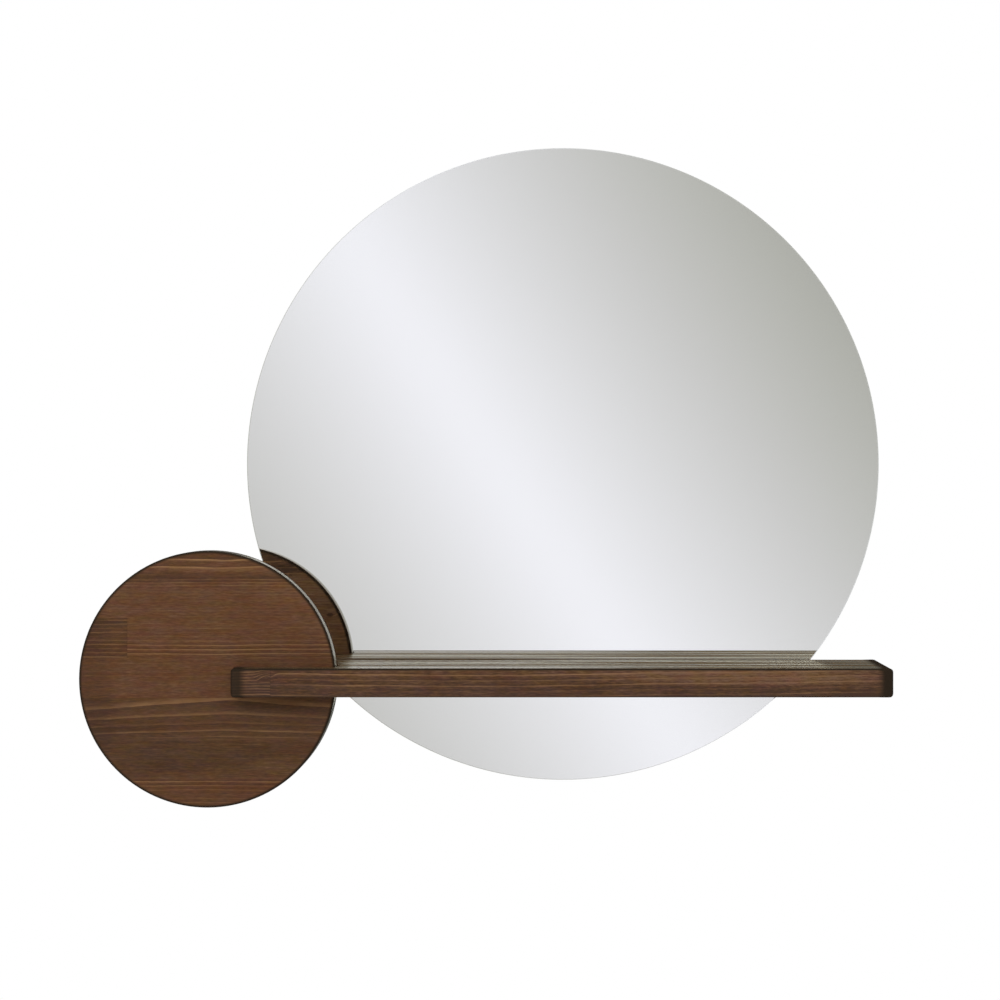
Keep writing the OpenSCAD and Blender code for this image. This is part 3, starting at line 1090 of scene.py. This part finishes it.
def make_lamp(name, place, size, power):
    """A round lamp that is aimed at the object and is seen by no camera and in no mirror."""
    data = bpy.data.lights.new(name, "AREA")
    data.shape = "DISK"
    data.size = size
    data.energy = power
    lamp = bpy.data.objects.new(name, data)
    lamp.location = place
    aim = -lamp.location
    lamp.rotation_euler = aim.to_track_quat("-Z", "Y").to_euler()
    lamp.visible_camera = False
    lamp.visible_glossy = False
    lamp.visible_transmission = False
    bpy.context.scene.collection.objects.link(lamp)


def make_camera(scene, settings):
    data = bpy.data.cameras.new("camera")
    data.lens = settings.lens_mm
    data.sensor_width = 36
    data.shift_x = -0.06
    data.shift_y = -0.013
    camera = bpy.data.objects.new("camera", data)
    camera.location = (-0.002735, -2.329, -0.02189)
    camera.rotation_euler = (math.pi / 2, 0, 0)
    scene.collection.objects.link(camera)
    scene.camera = camera


# ---- Operators ----


class MIRROR_OT_glass_pane(bpy.types.Operator):
    """Build the round glass with its eased edges and drilled holes"""

    bl_idname = "mirror.glass_pane"
    bl_label = "Glass Pane"

    def execute(self, context):
        settings = context.scene.mirror_glass
        low, high = node_box("glass_pane")
        arris = settings.arris * MM_PER_M
        loops = drilled_round(settings, settings.diameter * MM_PER_M / 2)
        levels = [(arris, 0, 0), (0, arris, 0), (0, arris, 1), (arris, 0, 1)]
        points, faces, _ = plate(loops, low[1], high[1], levels)
        make_piece("mirror_glass", points, faces, [glass_material(settings)], "glass_pane")
        return {"FINISHED"}


class MIRROR_OT_silver(bpy.types.Operator):
    """Build the silver behind the glass, with its paint"""

    bl_idname = "mirror.silver"
    bl_label = "Silver"

    def execute(self, context):
        settings = context.scene.mirror_glass
        low, high = node_box("silver_coating")
        loops = drilled_round(settings, (settings.diameter / 2 - settings.silver_margin) * MM_PER_M)
        front = low[1] - settings.silver_inlay * MM_PER_M
        levels = [(0, 0, 0), (0, 0, 1)]
        points, faces, front_count = plate(loops, front, high[1], levels)
        materials = [silver_material(settings), paint_material(settings)]
        piece = make_piece("mirror_silver", points, faces, materials, "silver_coating")
        sides = [0 if i < front_count else 1 for i in range(len(faces))]
        piece.data.polygons.foreach_set("material_index", sides)
        return {"FINISHED"}


class MIRROR_OT_shelf(bpy.types.Operator):
    """Build the brushed pine shelf with its rounded edges and the housings for the disc"""

    bl_idname = "mirror.shelf"
    bl_label = "Shelf"

    def execute(self, context):
        settings = context.scene.mirror_wood
        play = 0.2
        wall = 0.02
        grid_x = 4.2
        grid_yz = 0.8
        cut_x = DISC_CENTRE[0] + DISC_RADIUS + GLUE_GAP
        near = DISC_LOW[1] - play
        far = DISC_HIGH[1] + play
        edge = settings.shelf_edge * MM_PER_M
        end = settings.shelf_end * MM_PER_M
        corner = settings.shelf_corner * MM_PER_M
        low, high = SHELF_LOW, SHELF_HIGH
        xs = graded(low[0], high[0], corner, grid_x, (cut_x, cut_x + wall))
        ys = graded(low[1], high[1], edge, grid_yz, (near - wall, near, far, far + wall))
        zs = graded(low[2], high[2], edge, grid_yz)
        points, quads = box_shell(xs, ys, zs)
        round_corner(points, 1, 2, edge)
        round_corner(points, 0, 2, end)
        round_corner(points, 0, 1, corner)

        def wear(places):
            return worn_share(SHELF_BOARD, *places.T) * settings.relief

        materials = [pine_material("shelf_pine", SHELF_BOARD, settings)]
        piece = make_piece(
            "shelf", points, quads.tolist(), materials, "shelf_board", 50, wear
        )
        # The top and the underside are lowered where the disc's slot grips the shelf
        places = vertex_values(piece.data, "co") * MM_PER_M
        inside = (places[:, 0] < cut_x + 0.01) & (places[:, 1] > near - 0.01)
        inside &= places[:, 1] < far + 0.01
        limit = SHELF_HALF[2] - settings.housing_depth * MM_PER_M
        lowered = SHELF_MIDDLE[2] + np.clip(places[:, 2] - SHELF_MIDDLE[2], -limit, limit)
        places[:, 2] = np.where(inside, lowered, places[:, 2])
        move_vertices(piece.data, places * MM)
        return {"FINISHED"}


class MIRROR_OT_disc(bpy.types.Operator):
    """Build the brushed pine disc with its rounded rim and its slot"""

    bl_idname = "mirror.disc"
    bl_label = "Disc"

    def execute(self, context):
        settings = context.scene.mirror_wood
        slot_end = SHELF_LOW[0] - GLUE_GAP
        slot_middle = SHELF_MIDDLE[2]
        loop = disc_outline(settings, slot_end)
        rounding = settings.rim_rounding * MM_PER_M
        front, back = rounding_levels(rounding, 6)
        levels = front + [(0, 0, part) for part in np.linspace(0.12, 0.88, 18)] + back

        # The points inside the faces keep clear of the rim and of the slot
        radius = DISC_RADIUS - rounding - 0.9
        half = settings.slot_height * MM_PER_M / 2 + 1
        across = np.arange(DISC_CENTRE[0] - radius, DISC_CENTRE[0] + radius, 3.6)
        up = np.arange(DISC_CENTRE[2] - radius, DISC_CENTRE[2] + radius, 0.75)
        grid = np.stack(np.meshgrid(across, up), axis=-1).reshape(-1, 2)
        clear = np.linalg.norm(grid - DISC_CENTRE[[0, 2]], axis=1) < radius
        clear &= (abs(grid[:, 1] - slot_middle) > half) | (grid[:, 0] < slot_end - 1)
        points, faces, _ = plate([loop], DISC_LOW[1], DISC_HIGH[1], levels, grid[clear])

        def wear(places):
            worn = worn_share(DISC_BOARD, *places.T)
            in_slot = (abs(places[:, 2] - slot_middle) < half) & (places[:, 0] > slot_end - 1)
            return np.where(in_slot, 0, worn) * settings.relief

        materials = [pine_material("disc_pine", DISC_BOARD, settings)]
        make_piece("disc", points, faces, materials, "side_disc", 50, wear)
        return {"FINISHED"}


class MIRROR_OT_fittings(bpy.types.Operator):
    """Give the board, tape, bushes, screws, dowels and hangers their materials"""

    bl_idname = "mirror.fittings"
    bl_label = "Board And Fittings"

    def execute(self, context):
        settings = context.scene.mirror_fittings
        zinc = plated_material("bright_zinc", settings.zinc, srgb(150, 154, 160), 1.4)
        yellow = plated_material("yellow_zinc", settings.yellow_zinc, srgb(168, 130, 96), 1.1)
        dress = {
            "backing_board": fibreboard_material(settings.board),
            "mounting_tape": foam_material(settings.tape),
            "glass_bushes": nylon_material(settings.nylon),
            "shelf_screws": yellow,
            "disc_dowels": beech_material(settings.beech),
            "hanger_plate_left": zinc,
            "hanger_plate_right": zinc,
            "hanger_screws": zinc,
        }
        for name, material in dress.items():
            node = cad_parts[name]
            if not node.material_slots:
                raise RuntimeError(f"{name} has no material slot")
            for slot in node.material_slots:
                slot.material = material
        return {"FINISHED"}


class MIRROR_OT_stage(bpy.types.Operator):
    """Set up the floor, the light and the camera"""

    bl_idname = "mirror.stage"
    bl_label = "Stage"

    def execute(self, context):
        settings = context.scene.mirror_stage
        context.scene.view_settings.view_transform = "Standard"
        make_floor(settings)
        make_world(context.scene, settings)
        make_lamp("key_light", (-1.6, -4.2, 2.6), 3.6, settings.key_power)
        make_lamp("top_light", (0.6, -1.4, 3.6), 3, settings.top_power)
        make_lamp("side_light", (-3, 1.8, 0.6), 2.4, settings.side_power)
        make_camera(context.scene, settings)
        return {"FINISHED"}


OPERATORS = (
    MIRROR_OT_glass_pane,
    MIRROR_OT_silver,
    MIRROR_OT_shelf,
    MIRROR_OT_disc,
    MIRROR_OT_fittings,
    MIRROR_OT_stage,
)


class MIRROR_PT_pieces(bpy.types.Panel):
    """Lists the pieces of the mirror and their settings"""

    bl_idname = "MIRROR_PT_pieces"
    bl_label = "Mirror With Shelf"
    bl_space_type = "VIEW_3D"
    bl_region_type = "UI"
    bl_category = "Mirror"

    def draw(self, context):
        for operator in OPERATORS:
            self.layout.operator(operator.bl_idname)
        for name, group in SETTINGS:
            box = self.layout.box()
            for key in group.__annotations__:
                box.prop(getattr(context.scene, name), key)


CLASSES = (*OPERATORS, MIRROR_PT_pieces)


def register():
    for name, group in SETTINGS:
        bpy.utils.register_class(group)
        setattr(bpy.types.Scene, name, PointerProperty(type=group))
    for one in CLASSES:
        bpy.utils.register_class(one)


def unregister():
    for one in reversed(CLASSES):
        bpy.utils.unregister_class(one)
    for name, group in reversed(SETTINGS):
        delattr(bpy.types.Scene, name)
        bpy.utils.unregister_class(group)


def main():
    register()
    bpy.ops.mirror.glass_pane()
    bpy.ops.mirror.silver()
    bpy.ops.mirror.shelf()
    bpy.ops.mirror.disc()
    bpy.ops.mirror.fittings()
    bpy.ops.mirror.stage()


if __name__ == "__main__":
    main()
